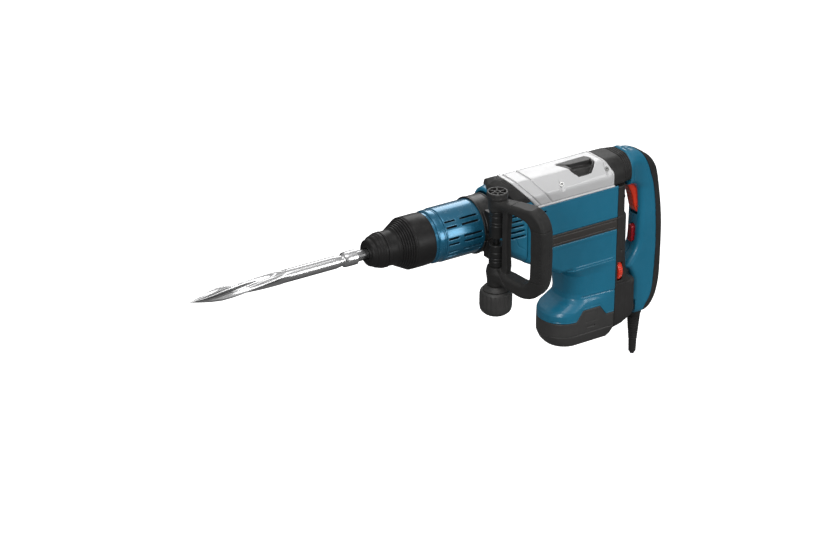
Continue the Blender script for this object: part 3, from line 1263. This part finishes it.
def bow_half_depth(x, z):
    """Half depth of the bow, blended from its lower to its upper arm."""
    upper = along(x, [0, 30, 52, 74, 92], [7.2, 7.6, 9.8, 13.6, 15.0])
    lower = along(x, [0, 30, 55, 76, 92], [9.5, 11.0, 12.6, 14.0, 15.0])
    return lerp(lower, upper, smooth_step(np.clip((z + 10.0) / 50.0, 0, 1)))


def side_grip():
    grid = Grid((-17, -18, -95), (108, 18, 76), 0.9)
    x, y, z = grid.axes
    half_width = along(x, [0, 30, 60, 110], [13.0, 15.4, 15.0, 15.0])
    bow = round_meet(path_distance(x, z, BOW) - bow_half_depth(x, z), np.abs(y) - half_width, 7.0)
    bar = round_meet(outline(x, z, INNER_BAR), np.abs(y) - 7.5, 3.0)
    radius = np.sqrt(x ** 2 + y ** 2)
    upper_hub = bevel(radius - 15.2, slab(z, 50.2, 71.0), 1.2)
    lower_radius = along(z, [-86, -76, -62, -51], [15.2, 15.6, 17.6, 15.4])
    lower_hub = bevel(radius - lower_radius, slab(z, -85.6, -51.0), 1.5)
    body = soft_join(meet(bow, 2.0 - x), soft_join(upper_hub, lower_hub, 2.0), 5.0)
    body = meet(soft_join(body, bar, 3.0), slab(z, -92.0, 71.0))
    skin = cut(body, meet(radius - 30.0, z + 85.6))
    low_seam = meet(band(x * 0.80 + (z + 72.0) * 0.60, 20.0, 0.7), shallow(skin, 1.2), z + 40.0)
    top_seam = meet(band(x * 0.80 - (z - 58.0) * 0.60, 22.0, 0.45), shallow(skin, 0.8), 40.0 - z)
    # seams, bolt hole, room for the clamp ears and the seat of the soft pad
    body = cut(skin, low_seam, top_seam, radius - 5.1,
               meet(radius - 13.8, slab(z, -50.6, 50.1)),
               meet(radius - 14.4, slab(z, -50.6, 50.0)),
               meet(slab(z, -54.4, 38.4), 62.0 - x, shallow(bow, 2.6)))
    attach(solid("side_grip_moulding", grid, body, swing_grip),
           "black_rubber", "side_grip", "side_grip")


def grip_pad():
    """Soft pad round the bow, with rows of dimples and a line along each side."""
    grid = Grid((68, -18, -56), (108, 18, 40), 0.75)
    x, y, z = grid.axes
    depth = path_distance(x, z, BOW) - bow_half_depth(x, z)
    skin = round_meet(depth - 0.15, np.abs(y) - 15.2, 7.0)
    core = round_meet(depth + 2.5, np.abs(y) - 12.5, 5.0)
    body = meet(round_meet(skin, slab(z, -54.0, 38.0), 0.9), 62.0 - x)
    body = cut(body, core)
    side_y = 15.9
    for k in range(16):
        row = 32.0 - 5.3 * k
        for side in (-1, 1):
            body = soft_cut(body, ball(x, y, z, (97.2, side * side_y, row), 1.7), 0.4)
            body = soft_cut(body, ball(x, y, z, (91.2, side * side_y, row - 2.6), 1.5), 0.4)
        body = soft_cut(body, ball(x, y, z, (104.8, 0.0, row), 1.6), 0.4)
    line = meet(band(x, 83.0, 0.45), shallow(skin, 0.7), slab(z, -46, 32), 6.0 - np.abs(y))
    attach(solid("side_grip_soft_pad", grid, cut(body, line), swing_grip),
           "black_rubber", "side_grip", "side_grip_pad")


KNOB = [  # (radius, z)
    (0.0, -141.0), (12.0, -140.6), (20.0, -137.0), (26.2, -131.0), (27.8, -122.0),
    (27.8, -103.0), (26.6, -97.0), (22.4, -92.6), (19.4, -89.0), (16.0, -86.4), (0.0, -86.2)]


def clamp_knob():
    grid = Grid((184, -92, -143), (242, -34, -84), 0.75)
    x, y, z = grid.axes
    radius = distance(x, y, GRIP_X, GRIP_Y)
    angle = np.arctan2(y - GRIP_Y, x - GRIP_X)
    body = outline(radius, z, [(-30.0, -141.0)] + rounded(KNOB, 2.5, 4) + [(-30.0, -86.2)])
    flutes = 0.95 * (0.5 + 0.5 * np.cos(angle * 20)) ** 2.2
    fade = np.clip((z + 141.0) / 14.0, 0, 1) * np.clip((-98.0 - z) / 3.0, 0, 1)
    body = cut(body + flutes * fade,
               meet(band(z, -94.0, 0.5), 17.6 - radius),
               meet(radius - 5.1, -125.0 - z),
               meet(band(radius, 14.0, 0.6), z + 139.2))
    attach(solid("clamp_knob_moulding", grid, body),
           "grey_black_nylon", "clamp_knob", "clamp_knob")


# ---------------------------------------------------------------- stage, camera, light
def floor():
    """Pale floor: near white to the camera, dark grey to every other ray."""
    bpy.ops.mesh.primitive_plane_add(size=60, location=(0, 0, -0.62))
    plane = bpy.context.active_object
    plane.name = "floor"
    material, tree, shader = new_material("pale_floor")
    for key, value in (("Base Color", (0.90, 0.90, 0.90, 1)), ("Roughness", 0.9),
                       ("Specular IOR Level", 0.1), ("Emission Color", (1, 1, 1, 1))):
        shader.inputs[key].default_value = value
    noise = node(tree, "TexNoise", Scale=30.0)
    bump = node(tree, "Bump", Strength=0.02)
    tree.links.new(noise.outputs[0], bump.inputs["Height"])
    tree.links.new(bump.outputs[0], shader.inputs["Normal"])
    camera_ray = node(tree, "LightPath").outputs["Is Camera Ray"]
    glow = calc(tree, "MULTIPLY", camera_ray, 0.80)
    tree.links.new(glow, shader.inputs["Emission Strength"])
    color = mix(tree, camera_ray, (0.16, 0.16, 0.16), (0.90, 0.90, 0.90))
    tree.links.new(color, shader.inputs["Base Color"])
    plane.data.materials.append(material)


def camera():
    data = bpy.data.cameras.new("camera")
    data.lens = 113.45
    data.sensor_width = 36.0
    data.clip_end = 100.0
    ob = bpy.data.objects.new("camera", data)
    bpy.context.scene.collection.objects.link(ob)
    right = (0.83867, -0.54464, 0.0)
    up = (0.23876, 0.36765, 0.89879)
    backward = (-0.48952, -0.75379, 0.43837)
    place = (-2.0086, -3.2298, 1.8161)
    ob.matrix_world = Matrix((*zip(right, up, backward, place), (0, 0, 0, 1)))
    bpy.context.scene.camera = ob


def area_light(name, place, target, size, power, size_y=None):
    light = bpy.data.lights.new(name, "AREA")
    light.energy = power
    light.size = size
    if size_y:
        light.shape = "RECTANGLE"
        light.size_y = size_y
    ob = bpy.data.objects.new(name, light)
    bpy.context.scene.collection.objects.link(ob)
    ob.location = place
    aim = Vector(target) - Vector(place)
    ob.rotation_euler = aim.to_track_quat("-Z", "Y").to_euler()


def lights():
    area_light("key_top", (0.1, -0.5, 2.0), (0.25, 0, 0), size=1.5, power=11.5, size_y=0.9)
    area_light("front_left", (-1.9, -1.9, 0.9), (0.2, 0, -0.05), size=0.9, power=29, size_y=1.3)
    area_light("right_side", (1.5, -2.3, 0.6), (0.42, 0, -0.08), size=0.7, power=17, size_y=1.2)
    area_light("rear_rim", (1.5, 1.8, 1.3), (0.4, 0, 0), size=1.2, power=16)


def studio_world():
    """White to the camera; other rays see a vertical grey gradient."""
    world = bpy.data.worlds.new("studio")
    bpy.context.scene.world = world
    world.use_nodes = True
    tree = world.node_tree
    link = tree.links.new
    tree.nodes.clear()
    output = node(tree, "OutputWorld")
    backdrop = node(tree, "Background", Color=(1, 1, 1, 1), Strength=1.0)
    surroundings = node(tree, "Background", Strength=0.45)
    choice = node(tree, "MixShader")
    light_path = node(tree, "LightPath")
    coords = node(tree, "TexCoord")
    direction = node(tree, "SeparateXYZ")
    link(coords.outputs["Generated"], direction.inputs[0])
    height = calc(tree, "MULTIPLY_ADD", direction.outputs[2], 0.5, 0.5)
    gradient = ramp(tree, height, (0.0, 0.10), (0.46, 0.16), (0.54, 0.30), (0.70, 0.75),
                    (1.0, 1.0))
    link(gradient, surroundings.inputs[0])
    link(light_path.outputs["Is Camera Ray"], choice.inputs[0])
    link(surroundings.outputs[0], choice.inputs[1])
    link(backdrop.outputs[0], choice.inputs[2])
    link(choice.outputs[0], output.inputs[0])


for build in (chisel, tool_holder, barrel_sleeve, gear_housing, shoulder_insert, front_bumper,
              front_casing, motor_housing, side_strips, base_cap, rear_cover, casing_screws,
              speed_dial, bellows, rear_handle, trigger, lock_button, cord_boot, clamp_band,
              bolt_cap, side_grip, grip_pad, clamp_knob, floor, camera, lights, studio_world):
    build()

view = bpy.context.scene.view_settings
view.view_transform = "Standard"
view.look = "None"
view.exposure = 0.0
